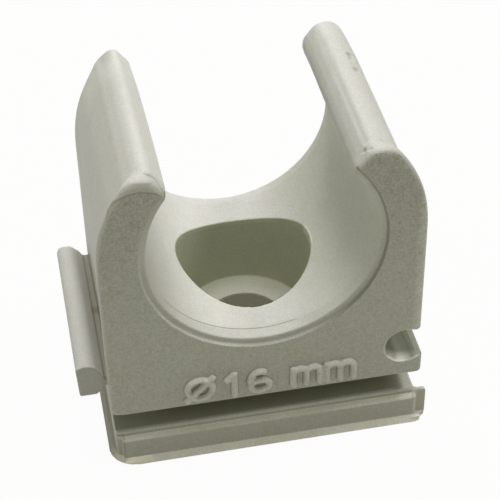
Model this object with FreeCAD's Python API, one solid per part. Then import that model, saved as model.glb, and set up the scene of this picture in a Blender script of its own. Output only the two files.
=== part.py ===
"""Snap-in clip for a 15 or 16 mm pipe, moulded in one piece. Millimetres, +Z up.

The pipe lies along Y. The origin is on the axis of the screw hole, at the underside.
The front face looks towards -Y, the coupling rail is on the -X side, its groove on +X.
"""
import FreeCAD, Part
import math
import os

V = FreeCAD.Vector

# Body: the block that carries the two arms
body_width = 20.8
body_depth = 16.0
arm_radius = 15.1
shoulder_drop = 7.95
crown_round = 1.5
edge_round = 0.3
corner_round = 0.35
crown_share = 0.62
ridge_share = 0.34
end_share = 0.8

# Front flange: stands proud of the body's sides and shoulders
flange_reach = 0.3
flange_thickness = 0.7
flange_arm_radius = 9.25
flange_shoulder_drop = 6.25

# Seat for the pipe, and the mouth above it
bore_diameter = 15.0
bore_height = 17.3
arm_rise = 6.7
seat_bevel_depth = 1.1
seat_bevel = 0.13
rim_width = 0.42
rim_depth = 0.28
throat_width = 11.6
lead_in_width = 0.98
lead_in_height = 1.3
ridge_round = 0.95
nose_round = 0.35
crease_turn = 40.0
crease_width = 0.3
crease_depth = 0.17
crease_end_gap = 1.3

# Screw pocket
pocket_diameter = 9.4
ledge_height = 4.55
screw_hole_diameter = 5.5

# Foot, and the slots that take the lips of a mounting channel
slot_floor = 2.75
slot_height = 1.75
slot_depth = 3.0
foot_reach = 0.1
foot_setback = 0.35
foot_corner = 0.3
bar_end_gap = 0.6
bar_drop = 0.42
bar_slope = 0.23
bar_round = 0.12
tongue_reach = 0.75
tongue_thickness = 0.3
tongue_drop = 0.25
tongue_round = 0.25
tongue_root = 0.4
skirt_reach = 0.33
skirt_height = 0.5
skirt_left_corner = 1.9
skirt_right_corner = 0.4

# Coupling rail on the left
rail_reach = 2.0
rail_bottom = 6.03
rail_height = 2.6
rail_crown = 0.24
rail_end_lean = 0.12
rail_flat = 1.3
neck_run = 0.12
neck_rise = 0.72
neck_height = 0.67
rail_front_gap = 1.0
rail_rear_gap = 1.9
rail_round = 0.25
rail_under_round = 0.12

# Groove on the right that takes a neighbour's rail
groove_clearance = 0.06
groove_end_gap = 0.44
groove_rim = 0.12
groove_turn = 30.0
lower_lip_height = 6.23
lower_lip_reach = 0.2

# How far cutting shapes reach past the body and joined ones into it, and how near counts as on
margin = 1.0
near = 0.01

half_width = body_width / 2
half_depth = body_depth / 2
face_half = half_width + flange_reach
bore_radius = bore_diameter / 2
arm_top = bore_height + arm_rise
nose_top = arm_top - lead_in_height
ridge_turn = math.atan2(lead_in_height, lead_in_width)
slot_roof = slot_floor + slot_height
foot_half = half_width + foot_reach
foot_front = -half_depth + foot_setback


def prism(points, y_start, y_end):
    """Straight prism along Y over an outline of (x, z) points."""
    wire = Part.makePolygon([V(x, y_start, z) for x, z in points + points[:1]])
    return Part.Face(wire).extrude(V(0, y_end - y_start, 0))


def block(x0, x1, y0, y1, z0, z1):
    """Box between two corners."""
    return Part.makeBox(x1 - x0, y1 - y0, z1 - z0, V(x0, y0, z0))


def edges_where(shape, test):
    """Edges whose every vertex and middle point pass a test."""
    picked = []
    for edge in shape.Edges:
        middle = edge.valueAt((edge.FirstParameter + edge.LastParameter) / 2)
        points = [vertex.Point for vertex in edge.Vertexes] + [middle]
        if all(test(point) for point in points):
            picked.append(edge)
    return picked


def on_line(point, x, z):
    """Whether a point lies on the line along Y at this height and this far to either side."""
    return abs(abs(point.x) - x) < near and abs(point.z - z) < near


def mirrored(shape):
    """The same shape on the other side of the YZ plane."""
    return shape.mirror(V(0, 0, 0), V(1, 0, 0))


def turned(shape):
    """The same shape at the rear instead of the front."""
    return shape.mirror(V(0, 0, 0), V(0, 1, 0))


def outline(half, shoulder_fall, radius, y):
    """Body outline without the mouth: straight sides, arcs above the shoulders and a flat top."""
    shoulder = arm_top - shoulder_fall
    centre_x = half - radius
    rise = math.asin(shoulder_fall / radius)

    def on_arc(angle, side):
        x = centre_x + radius * math.cos(angle)
        return V(side * x, y, shoulder + radius * math.sin(angle))

    foot_left = V(-half, y, slot_roof)
    foot_right = V(half, y, slot_roof)
    right_arc = Part.Arc(on_arc(0, 1), on_arc(rise / 2, 1), on_arc(rise, 1)).toShape()
    left_arc = Part.Arc(on_arc(rise, -1), on_arc(rise / 2, -1), on_arc(0, -1)).toShape()
    return Part.Wire([
        Part.makeLine(foot_left, foot_right),
        Part.makeLine(foot_right, on_arc(0, 1)),
        right_arc,
        Part.makeLine(on_arc(rise, 1), on_arc(rise, -1)),
        left_arc,
        Part.makeLine(on_arc(0, -1), foot_left),
    ])


def mouth():
    """Way in for the pipe: plain between the noses, flared above them."""
    nose = throat_width / 2
    steepness = lead_in_width / lead_in_height
    over = arm_top + margin
    flare = steepness * (over - nose_top)
    right = [(nose, bore_height), (nose, nose_top), (nose + flare, over)]
    left = [(-x, z) for x, z in reversed(right)]
    return prism(right + left, -half_depth - margin, half_depth + margin)


def rounding(half, shoulder_fall, radius):
    """Where an arm's crown and ridge lie, and the radius that each is rounded to.

    The two share the arm's flat top, so neither takes more than its share of it.
    """
    ridge_x = throat_width / 2 + lead_in_width
    rise = math.asin(shoulder_fall / radius)
    crown_x = half - radius + radius * math.cos(rise)
    room = crown_x - ridge_x
    crown_turn = math.pi / 2 - rise
    crown_radius = min(crown_round, crown_share * room / math.tan(crown_turn / 2))
    ridge_radius = min(ridge_round, ridge_share * room / math.tan(ridge_turn / 2))
    return crown_x, crown_radius, ridge_x, ridge_radius


def crease():
    """Shallow line along the right arm, on the rounding of its ridge."""
    ridge_x, radius = rounding(half_width, shoulder_drop, arm_radius)[2:]
    turn = math.radians(crease_turn)
    centre_x = ridge_x + radius * math.tan(ridge_turn / 2)
    centre_z = arm_top - radius
    half_angle = crease_width / 2 / radius

    def at(distance, angle):
        return centre_x - distance * math.sin(angle), centre_z + distance * math.cos(angle)

    points = [
        at(radius - crease_depth, turn),
        at(radius, turn + half_angle),
        at(radius + crease_depth, turn),
        at(radius, turn - half_angle),
    ]
    return prism(points, -half_depth + crease_end_gap, half_depth - crease_end_gap)


def two_arms(half, shoulder_fall, radius, y0, y1, rounded_y):
    """Slice of the body with both arms, its edges rounded at one end.

    The end's rounding comes before the bottom corners', so that the face's lower edge stays sharp.
    """
    crown_x, crown_radius, ridge_x, ridge_radius = rounding(half, shoulder_fall, radius)
    face = Part.Face(outline(half, shoulder_fall, radius, y0))
    solid = face.extrude(V(0, y1 - y0, 0)).cut(mouth())
    crowns = edges_where(solid, lambda p: on_line(p, crown_x, arm_top))
    solid = solid.makeFillet(crown_radius, crowns)
    ridges = edges_where(solid, lambda p: on_line(p, ridge_x, arm_top))
    solid = solid.makeFillet(ridge_radius, ridges)
    noses = edges_where(solid, lambda p: on_line(p, throat_width / 2, nose_top))
    solid = solid.makeFillet(nose_round, noses)
    end = edges_where(solid, lambda p: abs(p.y - rounded_y) < near)
    inner = throat_width / 2 + near
    kept = [e for e in end if e.CenterOfMass.z > bore_height or abs(e.CenterOfMass.x) > inner]
    end_radius = min(edge_round, end_share * ridge_radius, end_share * crown_radius)
    solid = solid.makeFillet(end_radius, kept)
    corners = edges_where(solid, lambda p: on_line(p, half, slot_roof))
    return solid.makeFillet(corner_round, corners)


def body():
    """Block with both arms, and the flange around its front end."""
    start = -half_depth + flange_thickness
    block_part = two_arms(half_width, shoulder_drop, arm_radius, start, half_depth, half_depth)
    flange = two_arms(
        face_half, flange_shoulder_drop, flange_arm_radius, -half_depth, start, -half_depth
    )
    return block_part.fuse(flange).cut(crease())


def along_y(radius, y0, y1, height=bore_height, x=0):
    """Cylinder along Y."""
    return Part.makeCylinder(radius, y1 - y0, V(x, y0, height), V(0, 1, 0))


def seat():
    """Bore for the pipe, with a shallow bevel and a recessed rim at each end."""
    front = V(0, -half_depth, bore_height)
    wide = bore_radius + seat_bevel
    bevel = Part.makeCone(wide, bore_radius, seat_bevel_depth, front, V(0, 1, 0))
    rim = along_y(wide + rim_width, -half_depth - margin, -half_depth + rim_depth)
    end = bevel.fuse(rim)
    return [along_y(bore_radius, -half_depth - margin, half_depth + margin), end, turned(end)]


def screw_pocket():
    """Round pocket for a screw's head, sunk into the seat, and the hole below it."""
    ledge = V(0, 0, ledge_height)
    pocket = Part.makeCylinder(pocket_diameter / 2, bore_height - ledge_height, ledge)
    length = ledge_height + 2 * margin
    hole = Part.makeCylinder(screw_hole_diameter / 2, length, V(0, 0, -margin))
    return [pocket, hole]


def foot():
    """Lower block with a bar at the front and one at the rear, joined to the body by a web."""
    base = block(-foot_half, foot_half, foot_front, -foot_front, 0, slot_floor)
    behind = -foot_front - near
    corners = edges_where(base, lambda p: abs(p.x) > foot_half - near and abs(p.y) > behind)
    base = base.makeFillet(foot_corner, corners)
    web_half = half_depth - slot_depth
    web = block(-half_width, half_width, -web_half, web_half, 0, slot_roof + margin)
    front = bar().fuse(tongue())
    return base.fuse([web, front, turned(front), skirt()])


def bar():
    """Bar along the foot, proud of its front, with a sloping top."""
    top = slot_floor - bar_drop
    bottom = skirt_height / 2
    y = -half_depth
    points = [(y, bottom), (y, top - bar_slope), (foot_front, top), (0, top), (0, bottom)]
    left = -face_half + bar_end_gap
    wire = Part.makePolygon([V(left, y, z) for y, z in points + points[:1]])
    solid = Part.Face(wire).extrude(V(face_half - left, 0, 0))
    edge_z = top - bar_slope
    ridge = edges_where(solid, lambda p: abs(p.y - y) < near and abs(p.z - edge_z) < near)
    return solid.makeFillet(bar_round, ridge)


def tongue():
    """Thin end of the foot's front, which reaches past the body's right side."""
    right = face_half + tongue_reach
    top = slot_floor - tongue_drop
    back = foot_front + tongue_thickness
    bottom = skirt_height / 2
    solid = block(foot_half - margin, right, foot_front, back, bottom, top)
    corner = edges_where(solid, lambda p: abs(p.x - right) < near and abs(p.z - top) < near)
    solid = solid.makeFillet(tongue_round, corner)
    root_end = foot_half + tongue_root
    root = block(foot_half - margin, root_end, back, back + tongue_root, bottom, top)
    hollow = Part.makeCylinder(tongue_root, top, V(root_end, back + tongue_root, 0))
    return solid.fuse(root.cut(hollow))


def skirt_wire(grow, z):
    """Closed outline of the skirt at one height, with its own corner radius on each side."""
    x = face_half + grow
    y = half_depth + grow
    slab = block(-x, x, -y, y, z, z + margin)
    shrink = skirt_reach - grow
    for side, radius in ((-1, skirt_left_corner), (1, skirt_right_corner)):
        corners = edges_where(slab, lambda p: abs(p.x - side * x) < near and abs(abs(p.y) - y) < near)
        slab = slab.makeFillet(max(radius - shrink, near), corners)
    bottom = [face for face in slab.Faces if abs(face.CenterOfMass.z - z) < near]
    return bottom[0].OuterWire


def skirt():
    """Sloping edge around the foot's underside."""
    return Part.makeLoft([skirt_wire(skirt_reach, 0), skirt_wire(0, skirt_height)], True, True)


def coupling_rail():
    """Rail that hooks into a neighbour's groove: a thin neck and a head with a crowned top."""
    low = rail_bottom
    high = rail_bottom + rail_height
    outer = -face_half - rail_reach
    inner = -half_width + margin
    neck = -face_half - neck_run
    neck_low = rail_bottom + neck_rise
    neck_high = neck_low + neck_height
    shoulder = outer + rail_flat
    y = -half_depth + rail_front_gap

    def p(x, z):
        return V(x, y, z)

    side = high - rail_crown
    crown = Part.Arc(p(outer, side), p((outer + shoulder) / 2, high), p(shoulder, side))
    section = Part.Wire([
        crown.toShape(),
        Part.makeLine(p(shoulder, side), p(neck, neck_high)),
        Part.makeLine(p(neck, neck_high), p(inner, neck_high)),
        Part.makeLine(p(inner, neck_high), p(inner, neck_low)),
        Part.makeLine(p(inner, neck_low), p(neck, neck_low)),
        Part.makeLine(p(neck, neck_low), p(shoulder, low)),
        Part.makeLine(p(shoulder, low), p(outer + rail_end_lean, low)),
        Part.makeLine(p(outer + rail_end_lean, low), p(outer, side)),
    ])
    length = body_depth - rail_front_gap - rail_rear_gap
    solid = Part.Face(section).extrude(V(0, length, 0))
    upper = edges_where(solid, lambda p: p.x < shoulder + near and abs(p.z - side) < near)
    solid = solid.makeFillet(rail_round, upper)
    under = edges_where(solid, lambda p: abs(p.z - low) < near)
    under = [edge for edge in under if edge.Length > length - near]
    return solid.makeFillet(rail_under_round, under)


def lower_lip():
    """Ledge below the groove, standing a little proud of the flange."""
    x = face_half + lower_lip_reach
    inner = half_width - margin
    solid = block(inner, x, -half_depth, half_depth, slot_roof, lower_lip_height)
    bottom = edges_where(solid, lambda p: abs(p.x - x) < near and abs(p.z - slot_roof) < near)
    solid = solid.makeFillet(corner_round, bottom)
    ends = edges_where(solid, lambda p: abs(abs(p.y) - half_depth) < near and p.x > inner + near)
    ends = [edge for edge in ends if slot_roof + near < edge.CenterOfMass.z < lower_lip_height]
    return solid.makeFillet(edge_round, ends)


def coupling_groove():
    """Groove for a neighbour's rail: a round channel whose lower lip stands proud."""
    radius = rail_height / 2 + groove_clearance
    centre_x = face_half - rail_reach - groove_end_gap + radius
    centre_z = rail_bottom + rail_height / 2 - groove_clearance
    y0 = -half_depth - margin
    y1 = half_depth + margin
    channel = along_y(radius, y0, y1, centre_z, centre_x)
    turn = math.radians(groove_turn)
    slope = (centre_x + radius * math.sin(turn), centre_z - radius * math.cos(turn))
    outside = face_half + lower_lip_reach
    roof = centre_z + radius
    opening = prism([
        (centre_x, roof),
        (outside + margin, roof),
        (outside + margin, lower_lip_height),
        (outside, lower_lip_height),
        slope,
        (centre_x, centre_z),
    ], y0, y1)
    front = V(centre_x, -half_depth, centre_z)
    rim = Part.makeCone(radius + groove_rim, radius, groove_rim, front, V(0, 1, 0))
    return [channel.fuse(opening), rim, turned(rim)]


def pipe_clip():
    """The whole clip as one solid."""
    solid = body().fuse([foot(), coupling_rail(), lower_lip()])
    solid = solid.cut(Part.makeCompound(seat()))
    solid = solid.cut(Part.makeCompound(screw_pocket()))
    solid = solid.cut(Part.makeCompound(coupling_groove()))
    return solid.removeSplitter()


os.makedirs("parts", exist_ok=True)
pipe_clip().exportStep("parts/pipe_clip.step")
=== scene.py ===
import math

import bmesh
import bpy
from mathutils import Euler, Matrix, Vector


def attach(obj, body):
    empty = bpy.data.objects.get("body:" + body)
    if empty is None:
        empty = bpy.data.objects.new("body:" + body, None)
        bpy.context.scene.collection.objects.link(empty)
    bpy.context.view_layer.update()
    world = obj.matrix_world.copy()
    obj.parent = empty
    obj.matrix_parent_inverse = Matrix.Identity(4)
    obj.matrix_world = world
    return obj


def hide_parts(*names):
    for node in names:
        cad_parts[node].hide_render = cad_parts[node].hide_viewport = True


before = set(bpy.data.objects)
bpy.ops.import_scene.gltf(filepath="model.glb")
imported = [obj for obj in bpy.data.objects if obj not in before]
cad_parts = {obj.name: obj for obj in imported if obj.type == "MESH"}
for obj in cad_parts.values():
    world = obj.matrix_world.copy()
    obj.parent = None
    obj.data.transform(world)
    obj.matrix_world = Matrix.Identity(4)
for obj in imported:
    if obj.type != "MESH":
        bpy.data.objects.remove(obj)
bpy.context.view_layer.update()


# The solid clip. One injection-moulded piece of warm light grey plastic, worked on here in
# millimetres: body, arms, seat, screw pocket, foot, rail and groove.
PER_MM = 1000.0
WELD = 0.0005

clip_form = bmesh.new()
clip_form.from_mesh(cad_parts["pipe_clip"].data)
bmesh.ops.scale(clip_form, vec=(PER_MM, PER_MM, PER_MM), verts=clip_form.verts)
bmesh.ops.remove_doubles(clip_form, verts=clip_form.verts, dist=WELD)

# Thin web with a hollow edge, from the skirt's front right corner to the tongue's foot.
WEB_OUTLINE = [
    (10.4, -8.2), (10.93, -8.2), (11.03, -8.0), (11.2, -7.82), (11.41, -7.66), (10.4, -7.4),
]
WEB_HEIGHT = 0.34
web_corners = [clip_form.verts.new((x, y, 0)) for x, y in WEB_OUTLINE]
web = bmesh.ops.extrude_face_region(clip_form, geom=[clip_form.faces.new(web_corners)])
web_top = [part for part in web["geom"] if isinstance(part, bmesh.types.BMVert)]
bmesh.ops.translate(clip_form, vec=(0, 0, WEB_HEIGHT), verts=web_top)


# The size mark. Plain raised characters under the seat, engraved in the mould's wall, so they stand
# four tenths of a millimetre proud of the front face with round strokes.
MARK_STROKE = 0.25
MARK_RISE = 0.42
MARK_ROUNDNESS = 3
MARK_WELD = 0.0001
FACE_Y = -8.0
BOW_STEPS = 24

# The two m: where each starts, its two arches' half width and rise, and the heights of its stem.
M_LEFTS = (1.82, 4.17)
M_ARCH = (0.46, 0.42)
M_FOOT = 5.2
M_SPRING = 6.35
M_TOP = 6.95


def bow(middle, reach, start, end):
    """Points along part of an ellipse, between two angles in degrees."""
    turns = [math.radians(start + (end - start) * i / BOW_STEPS) for i in range(BOW_STEPS + 1)]
    return [
        (middle[0] + reach[0] * math.cos(turn), middle[1] + reach[1] * math.sin(turn))
        for turn in turns
    ]


# Across and up on the face: the diameter sign, the 1 and the 6, and then each m.
MARK_STROKES = [
    bow((-4.6, 6.2), (0.85, 0.86), 0, 360),
    [(-5.6, 5.15), (-3.6, 7.25)],
    [(-2.25, 5.1), (-2.25, 7.3)],
    [(-2.25, 7.12), (-2.85, 6.55)],
    bow((-0.5, 5.79), (0.66, 0.46), 0, 360),
    bow((-0.5, 6.1), (0.66, 0.97), 180, 55),
]
for left in M_LEFTS:
    MARK_STROKES.append([(left, M_FOOT), (left, M_TOP)])
    for middle in (left + M_ARCH[0], left + 3 * M_ARCH[0]):
        leg_foot = (middle + M_ARCH[0], M_FOOT)
        MARK_STROKES.append(bow((middle, M_SPRING), M_ARCH, 180, 0) + [leg_foot])

mark_curve = bpy.data.curves.new("size_mark", "CURVE")
mark_curve.dimensions = "3D"
mark_curve.bevel_depth = MARK_STROKE
mark_curve.bevel_resolution = MARK_ROUNDNESS
mark_curve.use_fill_caps = True
for points in MARK_STROKES:
    spline = mark_curve.splines.new("POLY")
    spline.points.add(len(points) - 1)
    for point, (across, up) in zip(spline.points, points):
        point.co = (across, FACE_Y, up, 1)
mark_object = bpy.data.objects.new("size_mark", mark_curve)
bpy.context.collection.objects.link(mark_object)
bpy.context.view_layer.update()
mark_mesh = bpy.data.meshes.new_from_object(
    mark_object.evaluated_get(bpy.context.evaluated_depsgraph_get())
)
bpy.data.objects.remove(mark_object)

mark = bmesh.new()
mark.from_mesh(mark_mesh)
bmesh.ops.remove_doubles(mark, verts=mark.verts, dist=MARK_WELD)
bmesh.ops.scale(
    mark,
    vec=(1, MARK_RISE / MARK_STROKE, 1),
    space=Matrix.Translation((0, -FACE_Y, 0)),
    verts=mark.verts,
)
mark.to_mesh(mark_mesh)
mark.free()
clip_form.from_mesh(mark_mesh)
bpy.data.meshes.remove(mark_mesh)


# The moulded skin. Plastic shrinks off every corner of the mould, so the whole surface is made anew
# as one even skin over the solid and the mark, and its edges are eased all round.
SKIN_VOXEL = 0.065
EASE_FACTOR = 0.5
EASE_STEPS = 2


def finished(mesh, name, modifiers):
    """New mesh with these modifiers applied, each a type and its settings."""
    holder = bpy.data.objects.new(name, mesh)
    bpy.context.collection.objects.link(holder)
    for kind, settings in modifiers:
        modifier = holder.modifiers.new(kind.lower(), kind)
        for setting, value in settings.items():
            setattr(modifier, setting, value)
    bpy.context.view_layer.update()
    evaluated = holder.evaluated_get(bpy.context.evaluated_depsgraph_get())
    result = bpy.data.meshes.new_from_object(evaluated)
    bpy.data.objects.remove(holder)
    bpy.data.meshes.remove(mesh)
    return result


solid_mesh = bpy.data.meshes.new("clip_solid")
clip_form.to_mesh(solid_mesh)
clip_form.free()
even_mesh = finished(solid_mesh, "clip_skin", [
    ("REMESH", {"mode": "VOXEL", "voxel_size": SKIN_VOXEL}),
    ("SMOOTH", {"factor": EASE_FACTOR, "iterations": EASE_STEPS}),
])
skin = bmesh.new()
skin.from_mesh(even_mesh)


# The arms as they came out. The left one leans outwards, more towards the rear, and both sag at
# their rear ends. Their front ends, the rail's crown, the right arm's ridge and the front face's
# lower left corner are rounded over, as on a moulding that has left a worn mould.
X, Y, Z = range(3)
ARM_LOW = 17
ARM_INSIDE = 4
BODY_DEPTH = 16
LEAN_FRONT = 0.15
LEAN_MORE_REAR = 0.25
LEFT_SAG = 0.8
NOSE_HOLD = 0.6
RIGHT_SAG = 0.2
TIP_STEPS = 90
RIGHT_TIP_PART = 0.35
RAIL_STEPS = 60
RIDGE_STEPS = 80
RIDGE_FRONT_PART = 0.5
CORNER_STEPS = 50

# Zones: an axis, where the zone starts to count along it, and where it counts in full.
LEANING = [(Z, 19, 22.2), (X, -9, -6.3)]
LEFT_NOSE = [(X, -8.2, -6.4)]
LEFT_REAR = [(Y, 3.5, 8.2), (Z, 17.5, 23.5)]
RIGHT_REAR = [(Y, 5, 8.2), (Z, 18, 23.5)]
ARM_TIPS = [(Z, 16, 20), (Y, -6.8, -7.4)]
RAIL_CROWN = [(X, -10.8, -11.1), (Z, 7.9, 8.2), (Y, -6.9, -6.5)]
RIDGE = [(X, 5.5, 6.1), (X, 7.8, 7.2), (Z, 21.6, 22.4), (Y, -6.9, -6.4)]
RIDGE_REAR = [(Y, -1, 4)]
FACE_CORNER = [(X, -9.6, -10.2), (Y, -7.2, -7.5), (Z, 5.4, 4.7), (Z, 3.0, 3.2)]


def share_in(place, zone):
    """How far a place lies inside a zone, from 0 to 1 and eased at both."""
    whole = 1
    for axis, start, full in zone:
        share = min(max((place[axis] - start) / (full - start), 0), 1)
        whole *= share * share * (3 - 2 * share)
        if whole == 0:
            break
    return whole


def soften(form, share_at, steps):
    """Smooths every vertex for its share of the steps."""
    shares = [(vert, share_at(vert.co)) for vert in form.verts]
    touched = [(vert, share) for vert, share in shares if share > 0]
    for step in range(steps):
        soft = [vert for vert, share in touched if share * steps > step]
        bmesh.ops.smooth_vert(
            form,
            verts=soft,
            factor=EASE_FACTOR,
            use_axis_x=True,
            use_axis_y=True,
            use_axis_z=True,
        )


for vert in skin.verts:
    place = vert.co.copy()
    if place.z <= ARM_LOW:
        continue
    if place.x < -ARM_INSIDE:
        depth = (place.y - FACE_Y) / BODY_DEPTH
        vert.co.x -= (LEAN_FRONT + LEAN_MORE_REAR * depth ** 2) * share_in(place, LEANING)
        sag = LEFT_SAG * (1 - NOSE_HOLD * share_in(place, LEFT_NOSE))
        vert.co.z -= sag * share_in(place, LEFT_REAR)
    elif place.x > ARM_INSIDE:
        vert.co.z -= RIGHT_SAG * share_in(place, RIGHT_REAR)


def tip_share(place):
    """How much an arm's front end is rounded: in full on the left, and less on the right."""
    return share_in(place, ARM_TIPS) * (1 if place.x < 0 else RIGHT_TIP_PART)


def ridge_share(place):
    """How much the right arm's ridge and its crease are rounded off, more towards the rear."""
    rear = share_in(place, RIDGE_REAR)
    return share_in(place, RIDGE) * (RIDGE_FRONT_PART + (1 - RIDGE_FRONT_PART) * rear)


soften(skin, tip_share, TIP_STEPS)
soften(skin, lambda place: share_in(place, RAIL_CROWN), RAIL_STEPS)
soften(skin, ridge_share, RIDGE_STEPS)
soften(skin, lambda place: share_in(place, FACE_CORNER), CORNER_STEPS)


# Wear and flaws. Marks about a tenth of a millimetre deep, which are the crack round the left arm's
# tip and the knocks on the right arm's crown, and the swollen front end of the groove's floor.
SEAM_BOX = ((-7.6, -5), (-9, 9), (22, 25))
SEAM_START = [(X, -7.4, -6.9)]
SEAM_BEND = [(Z, 23.7, 22.8)]
SEAM_Y = -7.17
SEAM_DRIFT = 0.45
SEAM_WIDTH = 0.17
SEAM_DEPTH = 0.12

FLOOR_BOX = ((8, 10.5), (-7.95, -1), (5.7, 7.2))
FLOOR_ZONE = [(Y, -7.9, -7.1), (Y, -1, -4), (X, 10.5, 10.1)]
FLOOR_FACING = 0.2
FLOOR_SWELL = 0.28

# Each dent's middle, its half sizes and its depth.
DENT_BOX = ((6, 12), (-9, 9), (22.5, 25))
DENTS = [
    ((8.14, 3.35, 23.72), (0.4, 0.35, 0.5), 0.16),
    ((8.05, 2.75, 23.8), (0.25, 0.3, 0.4), 0.09),
    ((8.1, 1.45, 23.74), (0.3, 0.35, 0.4), 0.14),
    ((6.45, -7.14, 23.55), (0.22, 0.22, 0.3), 0.12),
    ((6.8, -7.45, 23.86), (0.25, 0.12, 0.3), 0.08),
    ((7.7, -6.9, 23.95), (0.35, 0.1, 0.3), 0.05),
]


def inside(place, box):
    """Whether a place lies inside a box, given as the limits along each axis."""
    return all(low < value < high for value, (low, high) in zip(place, box))


def trough(distance, width):
    """Depth share of a rounded furrow this wide, from the distance to its middle."""
    return max(0, 1 - (distance / (width / 2)) ** 2)


def pit(place, middle, size):
    """Depth share of a rounded dent, from its middle and its half sizes."""
    away = sum(((place[axis] - middle[axis]) / size[axis]) ** 2 for axis in (X, Y, Z))
    return max(0, 1 - away) ** 2


skin.normal_update()
for vert in skin.verts:
    place = vert.co.copy()
    if inside(place, FLOOR_BOX) and vert.normal.z > FLOOR_FACING:
        vert.co.z += FLOOR_SWELL * share_in(place, FLOOR_ZONE)
    depth = 0
    if inside(place, SEAM_BOX):
        seam_y = SEAM_Y - SEAM_DRIFT * share_in(place, SEAM_BEND)
        depth += SEAM_DEPTH * trough(place.y - seam_y, SEAM_WIDTH) * share_in(place, SEAM_START)
    if inside(place, DENT_BOX):
        depth += sum(deep * pit(place, middle, size) for middle, size, deep in DENTS)
    vert.co -= vert.normal * depth


# The finished moulding. The skin goes back to metres, is thinned to what a library piece may hold
# and rides the one body of the clip in place of the plain solid.
SKIN_TRIANGLES = 190000

bmesh.ops.scale(skin, vec=(1 / PER_MM, 1 / PER_MM, 1 / PER_MM), verts=skin.verts)
skin.to_mesh(even_mesh)
skin.free()
thinning = SKIN_TRIANGLES / (2 * len(even_mesh.polygons))
clip_mesh = finished(even_mesh, "clip_thinned", [("DECIMATE", {"ratio": thinning})])
clip_mesh.name = "clip_moulding"
for polygon in clip_mesh.polygons:
    polygon.use_smooth = True
clip = bpy.data.objects.new("clip_moulding", clip_mesh)
bpy.context.collection.objects.link(clip)

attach(clip, "root")
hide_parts("pipe_clip")


# The plastic. Warm light grey, matt as it leaves the mould: a fine eroded grain on the front face,
# coarser on the arms' ends, smoother on the seat, the arms and the sides, with a few old stains, and
# painted light and shade in many zones of its colour.
PLASTIC_COLOUR = (0.575, 0.57, 0.53)
PLASTIC_ROUGHNESS = 0.55
PLASTIC_IOR = 1.49
GRAIN_SIZE = 0.13
GRAIN_DEPTH = 0.00014
GRAIN_TINT = (0.78, 0.78, 0.76)
FINE_SIZE = 0.07
FINE_DEPTH = 0.00002
FINE_STRENGTH = 0.8
PIT_SIZE = 0.3
PIT_TINT = (0.82, 0.8, 0.75)
BLOTCH_SIZE = 1.2
BLOTCH_TINT = (0.985, 0.97, 0.955)

plastic = bpy.data.materials.new("grey_plastic")
plastic.use_nodes = True
nodes = plastic.node_tree.nodes
links = plastic.node_tree.links
nodes.clear()
output = nodes.new("ShaderNodeOutputMaterial")
shader = nodes.new("ShaderNodeBsdfPrincipled")
shader.inputs["Roughness"].default_value = PLASTIC_ROUGHNESS
shader.inputs["IOR"].default_value = PLASTIC_IOR
links.new(shader.outputs["BSDF"], output.inputs["Surface"])
coordinates = nodes.new("ShaderNodeTexCoord")


def vector_step(operation, source, value):
    """Vector that the operation makes of the source and a constant vector."""
    node = nodes.new("ShaderNodeVectorMath")
    node.operation = operation
    links.new(source, node.inputs[0])
    node.inputs[1].default_value = value
    return node.outputs["Value" if operation in ("LENGTH", "DOT_PRODUCT") else "Vector"]


def ramp(source, low, high, start, end):
    """Value that goes from start to end as the source goes from low to high."""
    node = nodes.new("ShaderNodeMapRange")
    node.inputs["From Min"].default_value = low
    node.inputs["From Max"].default_value = high
    node.inputs["To Min"].default_value = start
    node.inputs["To Max"].default_value = end
    links.new(source, node.inputs["Value"])
    return node.outputs["Result"]


def product(first, second):
    """The two values multiplied."""
    node = nodes.new("ShaderNodeMath")
    node.operation = "MULTIPLY"
    links.new(first, node.inputs[0])
    links.new(second, node.inputs[1])
    return node.outputs["Value"]


def speckle(size, detail):
    """Noise whose lumps are about this many millimetres across."""
    node = nodes.new("ShaderNodeTexNoise")
    node.inputs["Scale"].default_value = 1 / size
    node.inputs["Detail"].default_value = detail
    links.new(spot, node.inputs["Vector"])
    return node.outputs["Fac"]


def tinted(colour, share, tint):
    """The colour multiplied by the tint where the share is 1."""
    node = nodes.new("ShaderNodeMix")
    node.data_type = "RGBA"
    node.blend_type = "MULTIPLY"
    links.new(share, node.inputs[0])
    links.new(colour, node.inputs[6])
    node.inputs[7].default_value = (*tint, 1)
    return node.outputs[2]


def off_axis(middle, across):
    """Distance in millimetres from an axis through the middle."""
    flat = vector_step("MULTIPLY", vector_step("SUBTRACT", spot, middle), across)
    return vector_step("LENGTH", flat, (0, 0, 0))


def mask(limits):
    """1 where every measure is within its limits, and 0 beyond them and their fades."""
    share = None
    for measure, low, high, fade in limits:
        above = ramp(where[measure], low - fade, low, 0, 1)
        window = product(above, ramp(where[measure], high, high + fade, 1, 0))
        share = product(share, window) if share else window
    return share


spot = vector_step("MULTIPLY", coordinates.outputs["Object"], (PER_MM, PER_MM, PER_MM))
axes = nodes.new("ShaderNodeSeparateXYZ")
links.new(spot, axes.inputs["Vector"])
where = {
    "x": axes.outputs["X"],
    "y": axes.outputs["Y"],
    "z": axes.outputs["Z"],
    "seat": off_axis((0, 0, 17.3), (1, 0, 1)),
    "screw": off_axis((0, 0, 0), (1, 1, 0)),
    "groove": off_axis((9.62, 0, 7.27), (1, 0, 1)),
    "left_tip": off_axis((-7.71, 0, 21.24), (1, 0, 1)),
    "seam": vector_step("DOT_PRODUCT", spot, (0, 1, -0.5)),
}

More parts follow.
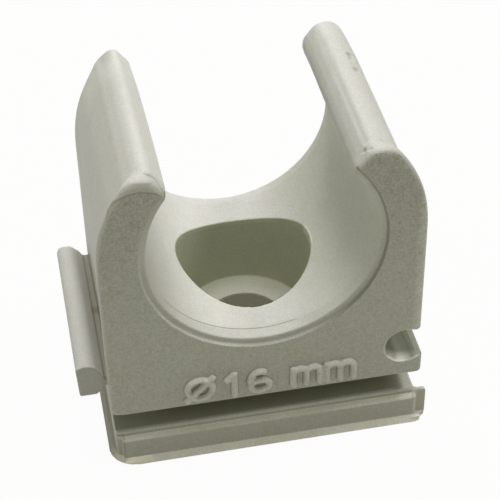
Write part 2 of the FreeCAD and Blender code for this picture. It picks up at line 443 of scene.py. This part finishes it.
# Tints on the plain colour, one after the other. Each says what it is on, the tint, and where it
# lies: the measure, its limits in millimetres, and how softly it fades beyond them. The stain, the
# dirt, the cracks, and the lines along the seat and round the left tip are marks on the plastic. The
# others paint in light and shade that the lamps alone don't give.
TINTS = [
    ("front face", (1.0, 1.0, 0.99), [("y", -8.06, -7.9, 0.04), ("z", 4.4, 25, 0.1)]),
    ("mark's tops", (1.28, 1.28, 1.28), [("y", -9, -8.14, 0.04), ("z", 4.9, 7.6, 0.1)]),
    ("mark's foot", (0.7, 0.7, 0.66), [("y", -8.11, -8.03, 0.02), ("z", 4.9, 7.6, 0.1)]),
    ("thin line along the seat", (0.45, 0.41, 0.35), [
        ("y", -6.87, -6.83, 0.025), ("seat", 7.3, 7.8, 0.05),
        ("x", -6.5, 2.0, 0.5), ("z", 9, 13.4, 0.4),
    ]),
    ("seat's front bevel", (1.1, 1.1, 1.1), [
        ("y", -7.5, -7.0, 0.15), ("seat", 7.4, 8, 0.05), ("x", -1.2, 2.0, 1), ("z", 9, 11, 0.2),
    ]),
    ("seat's recessed rim", (0.55, 0.54, 0.5), [
        ("y", -7.98, -7.6, 0.02), ("seat", 7.99, 8.1, 0.03), ("x", 6, 9, 3),
    ]),
    ("pocket's wall", (0.92, 0.95, 0.8), [("screw", 4.5, 4.75, 0.02), ("z", 4.6, 12, 0.1)]),
    ("pocket's floor", (1.4, 1.4, 1.35), [("screw", 2.8, 4.6, 0.08), ("z", 4.4, 4.7, 0.1)]),
    ("screw hole", (0.93, 0.92, 0.85), [("screw", 2, 2.78, 0.04), ("z", -1, 4.4, 0.1)]),
    ("pocket's right edge", (1.35, 1.35, 1.38), [
        ("screw", 4.68, 4.8, 0.03), ("x", 4.3, 5, 0.2), ("y", -0.6, 1.0, 0.4), ("z", 10.8, 12, 0.1),
    ]),
    ("groove", (0.5, 0.52, 0.42), [("groove", 0.8, 1.42, 0.04), ("y", -7.3, 9, 0.4)]),
    ("groove's roof", (0.78, 0.8, 0.7), [
        ("groove", 0.8, 1.42, 0.04), ("y", -7.9, 9, 0.05), ("z", 7.0, 9, 0.5),
    ]),
    ("groove's front floor", (1.75, 1.75, 1.75), [
        ("groove", 0.8, 1.44, 0.04), ("y", -7.95, -7.45, 0.25),
        ("z", 5, 6.4, 0.25), ("x", 8, 9.3, 0.7),
    ]),
    ("groove's front edge", (1.35, 1.35, 1.38), [
        ("groove", 1.4, 1.5, 0.03), ("y", -7.99, -7.85, 0.03),
    ]),
    ("groove's lip", (0.52, 0.54, 0.44), [
        ("x", 10.2, 11, 0.2), ("y", -7.85, 9, 0.1), ("z", 5.8, 6.8, 0.1),
    ]),
    ("slot's floor", (0.62, 0.63, 0.54), [
        ("z", 2.6, 2.95, 0.1), ("y", -7.35, -4, 0.12), ("x", -10.4, 8.6, 1.4),
    ]),
    ("slot's right end", (1.2, 1.2, 1.22), [
        ("z", 2.6, 4.6, 0.1), ("y", -7.6, -4.5, 0.2), ("x", 9.8, 10.6, 0.5),
    ]),
    ("line above the bar's slope", (0.72, 0.71, 0.64), [
        ("z", 2.36, 2.46, 0.04), ("y", -7.85, -7.5, 0.05), ("x", -11, 10.4, 0.1),
    ]),
    ("bar's slope", (1.34, 1.33, 1.27), [
        ("z", 2.08, 2.32, 0.08), ("y", -8.1, -7.6, 0.05), ("x", -11, 10.4, 0.05),
    ]),
    ("bar's front", (0.93, 0.93, 0.9), [
        ("z", 0.6, 1.9, 0.1), ("y", -8.1, -7.9, 0.03), ("x", -11, 10.3, 0.1),
    ]),
    ("skirt's front", (1.55, 1.54, 1.48), [("z", -1, 0.46, 0.04), ("y", -9, -8.01, 0.02)]),
    ("skirt's front left corner", (1.4, 1.39, 1.33), [
        ("z", -1, 0.44, 0.05), ("y", -8.01, -6.9, 0.3), ("x", -12, -8.3, 0.3),
    ]),
    ("foot's front left corner", (0.82, 0.81, 0.76), [
        ("z", 0.5, 2.5, 0.06), ("y", -8, -7.4, 0.2), ("x", -12, -9.95, 0.05),
    ]),
    ("tongue's front edge", (1.25, 1.24, 1.17), [
        ("z", 0.5, 2.3, 0.1), ("x", 10.5, 10.6, 0.04), ("y", -8.1, -7.7, 0.1),
    ]),
    ("flange's right edge", (1.25, 1.25, 1.25), [
        ("x", 10.3, 11, 0.4), ("y", -8.1, -7.4, 0.1), ("z", 9, 19, 1.5),
    ]),
    ("tongue", (1.0, 0.95, 0.85), [
        ("z", 0.5, 2.2, 0.15), ("x", 10.68, 12, 0.05), ("y", -8, -7, 0.3),
    ]),
    ("rail's neck", (0.5, 0.5, 0.42), [
        ("x", -10.85, -10.42, 0.08), ("y", -6.9, 9, 0.2), ("z", 7.3, 7.5, 0.12),
    ]),
    ("rail's front end", (0.87, 0.87, 0.88), [
        ("x", -13, -10.8, 0.1), ("y", -7.1, -6.95, 0.04), ("z", 5.8, 9, 0.1),
    ]),
    ("skirt's left side", (0.72, 0.71, 0.62), [
        ("x", -12, -10.4, 0.08), ("y", -7.1, 9, 0.4), ("z", -1, 0.65, 0.1),
    ]),
    ("seat's right side", (1.06, 1.09, 1.04), [
        ("seat", 7.3, 7.8, 0.1), ("x", 4.5, 9, 1.5), ("z", 11, 21.5, 1),
    ]),
    ("seat's bottom", (1.12, 1.12, 1.13), [
        ("seat", 7.3, 7.8, 0.1), ("x", -4, 2.5, 2), ("z", 9, 12, 1.5), ("y", -6.5, 9, 0.5),
    ]),
    ("right arm's nose", (0.87, 0.87, 0.86), [
        ("x", 5.4, 6.05, 0.2), ("y", -6.8, 9, 0.3), ("z", 21.8, 23, 0.2),
    ]),
    ("left arm's shoulder", (1.08, 1.08, 1.07), [
        ("x", -9.3, -8.45, 0.35), ("y", -6.5, 9, 0.6), ("z", 19.5, 25, 1.5),
    ]),
    ("left arm's crown", (0.84, 0.84, 0.83), [
        ("x", -8.0, -7.6, 0.35), ("y", -6.5, 9, 0.6), ("z", 23, 25, 0.6),
    ]),
    ("left arm's lead-in", (1.15, 1.15, 1.16), [
        ("x", -7.05, -5.4, 0.3), ("y", -6.6, 9, 0.4), ("z", 20.6, 25, 0.4),
    ]),
    ("stain on the rail's neck", (0.75, 0.64, 0.5), [
        ("x", -10.8, -10.4, 0.2), ("y", -0.3, 0, 0.45), ("z", 7.3, 7.5, 0.25),
    ]),
    ("dirt in the front dent", (0.84, 0.8, 0.72), [
        ("x", 8.05, 8.2, 0.15), ("y", 1.4, 1.6, 0.25), ("z", 23, 25, 0.1),
    ]),
    ("dirt in the rear dents", (0.84, 0.8, 0.72), [
        ("x", 8.05, 8.2, 0.15), ("y", 3.1, 3.4, 0.3), ("z", 23, 25, 0.1),
    ]),
    ("line round the left tip", (0.72, 0.66, 0.6), [
        ("left_tip", 2.0, 2.05, 0.05), ("z", 22, 25, 0.8),
        ("y", -8.1, -7.5, 0.1), ("x", -11, -6.6, 0.5),
    ]),
    ("outer line on the left tip", (0.8, 0.78, 0.74), [
        ("left_tip", 2.55, 2.6, 0.05), ("x", -8.0, -7.0, 0.3),
        ("z", 22, 25, 0.2), ("y", -8.1, -7.5, 0.1),
    ]),
    ("crack over the crown", (0.5, 0.45, 0.38), [
        ("y", -7.22, -7.16, 0.025), ("x", -7.0, -6.2, 0.15), ("z", 23.7, 25, 0.1),
    ]),
    ("crack down the nose", (0.5, 0.45, 0.38), [
        ("seam", -19.05, -18.99, 0.025), ("x", -7.0, -5.8, 0.15), ("z", 22.7, 23.7, 0.1),
    ]),
]
paint = nodes.new("ShaderNodeRGB")
paint.outputs[0].default_value = (*PLASTIC_COLOUR, 1)
colour = paint.outputs[0]
for part, tint, limits in TINTS:
    colour = tinted(colour, mask(limits), tint)
    colour.node.label = part

# The eroded grain lies on the front face, coarser upwards, and leaves out the rounded left tip.
front = mask([("y", -9, -7.95, 0.1), ("z", 4.6, 25, 0.3)])
rounded = mask([("left_tip", 2.1, 20, 0.15), ("z", 22, 25, 0.6), ("x", -12, -5, 0.5)])
coarseness = ramp(where["z"], 12, 21, 0.45, 1)
eroded = product(product(front, coarseness), ramp(rounded, 0, 1, 1, 0))
grain = speckle(GRAIN_SIZE, 3)
hollows = product(ramp(eroded, 0, 1, 0.5, 1), ramp(grain, 0.62, 0.38, 0, 1))
pits = product(eroded, ramp(speckle(PIT_SIZE, 1), 0.6, 0.7, 0, 1))
colour = tinted(colour, pits, PIT_TINT)
colour = tinted(colour, hollows, GRAIN_TINT)
colour = tinted(colour, ramp(speckle(BLOTCH_SIZE, 2), 0.45, 0.65, 0, 1), BLOTCH_TINT)
links.new(colour, shader.inputs["Base Color"])

coarse_bump = nodes.new("ShaderNodeBump")
coarse_bump.inputs["Distance"].default_value = GRAIN_DEPTH
links.new(eroded, coarse_bump.inputs["Strength"])
links.new(grain, coarse_bump.inputs["Height"])
fine_bump = nodes.new("ShaderNodeBump")
fine_bump.inputs["Strength"].default_value = FINE_STRENGTH
fine_bump.inputs["Distance"].default_value = FINE_DEPTH
links.new(speckle(FINE_SIZE, 2), fine_bump.inputs["Height"])
links.new(coarse_bump.outputs["Normal"], fine_bump.inputs["Normal"])
links.new(fine_bump.outputs["Normal"], shader.inputs["Normal"])
clip_mesh.materials.clear()
clip_mesh.materials.append(plastic)


# Floor, light and camera. A plain pale table top that shows white to the camera and keeps a soft
# shadow, broad lamps above and behind, two small ones, weak ones from the front and the left, and
# the photograph's angle.
FLOOR_HALF = 2.0
FLOOR_COLOUR = (0.6, 0.6, 0.52, 1)
FLOOR_GLOW = 0.96
ROOM_COLOUR = (0.13, 0.134, 0.09, 1)
WHITE = (1, 1, 1, 1)
LAMP_TARGET = (0, 0, 0.012)
LAMP_DISTANCE = 0.5

floor_mesh = bpy.data.meshes.new("floor")
floor_form = bmesh.new()
bmesh.ops.create_grid(floor_form, x_segments=1, y_segments=1, size=FLOOR_HALF)
floor_form.to_mesh(floor_mesh)
floor_form.free()
floor = bpy.data.objects.new("floor", floor_mesh)
bpy.context.collection.objects.link(floor)


def seeing_rays(nodes, links):
    """1 for the rays that show a surface: from the camera, a mirror or a glass."""
    rays = nodes.new("ShaderNodeLightPath")
    shown = rays.outputs["Is Camera Ray"]
    for kind in ("Is Glossy Ray", "Is Transmission Ray"):
        either = nodes.new("ShaderNodeMath")
        either.operation = "MAXIMUM"
        links.new(shown, either.inputs[0])
        links.new(rays.outputs[kind], either.inputs[1])
        shown = either.outputs["Value"]
    return shown


table_top = bpy.data.materials.new("table_top")
table_top.use_nodes = True
nodes = table_top.node_tree.nodes
links = table_top.node_tree.links
nodes.clear()
output = nodes.new("ShaderNodeOutputMaterial")
blend = nodes.new("ShaderNodeMixShader")
paint = nodes.new("ShaderNodeBsdfDiffuse")
paint.inputs["Color"].default_value = FLOOR_COLOUR
glow = nodes.new("ShaderNodeEmission")
glow.inputs["Color"].default_value = WHITE
share = nodes.new("ShaderNodeMath")
share.operation = "MULTIPLY"
share.inputs[1].default_value = FLOOR_GLOW
links.new(seeing_rays(nodes, links), share.inputs[0])
links.new(share.outputs["Value"], blend.inputs["Fac"])
links.new(paint.outputs["BSDF"], blend.inputs[1])
links.new(glow.outputs["Emission"], blend.inputs[2])
links.new(blend.outputs["Shader"], output.inputs["Surface"])
floor_mesh.materials.append(table_top)

world = bpy.data.worlds.new("studio")
bpy.context.scene.world = world
world.use_nodes = True
nodes = world.node_tree.nodes
links = world.node_tree.links
nodes.clear()
output = nodes.new("ShaderNodeOutputWorld")
blend = nodes.new("ShaderNodeMixShader")
room = nodes.new("ShaderNodeBackground")
room.inputs["Color"].default_value = ROOM_COLOUR
white = nodes.new("ShaderNodeBackground")
white.inputs["Color"].default_value = WHITE
links.new(seeing_rays(nodes, links), blend.inputs["Fac"])
links.new(room.outputs["Background"], blend.inputs[1])
links.new(white.outputs["Background"], blend.inputs[2])
links.new(blend.outputs["Shader"], output.inputs["Surface"])

# Each lamp's name, the side it stands on, its width in metres and its power in watts.
LAMPS = [
    ("top_lamp", (0.05, 0.1, 1), 0.3, 0.86),
    ("back_lamp", (0, 0.9, 0.35), 0.3, 0.8),
    ("spot_lamp", (0, 0.5, 0.86), 0.08, 0.63),
    ("side_lamp", (0.5, 0, 0.86), 0.08, 0.72),
    ("front_lamp", (0, -0.4, 0.9), 0.3, 0.2),
    ("left_lamp", (-0.85, -0.1, 0.5), 0.3, 0.3),
]
for name, side, width, watts in LAMPS:
    light = bpy.data.lights.new(name, "AREA")
    light.shape = "SQUARE"
    light.size = width
    light.energy = watts
    lamp = bpy.data.objects.new(name, light)
    direction = Vector(side).normalized()
    lamp.location = Vector(LAMP_TARGET) + direction * LAMP_DISTANCE
    lamp.rotation_mode = "QUATERNION"
    lamp.rotation_quaternion = (-direction).to_track_quat("-Z", "Y")
    bpy.context.collection.objects.link(lamp)

eye = bpy.data.cameras.new("camera")
eye.sensor_width = 36
eye.lens = 112.354
eye.clip_start = 0.01
eye.clip_end = 10
camera = bpy.data.objects.new("camera", eye)
camera.location = (-0.014425, -0.082095, 0.08051)
camera.rotation_euler = Euler((0.874998, 0.016637, -0.193538))
bpy.context.collection.objects.link(camera)
bpy.context.scene.camera = camera
bpy.context.scene.view_settings.view_transform = "Standard"
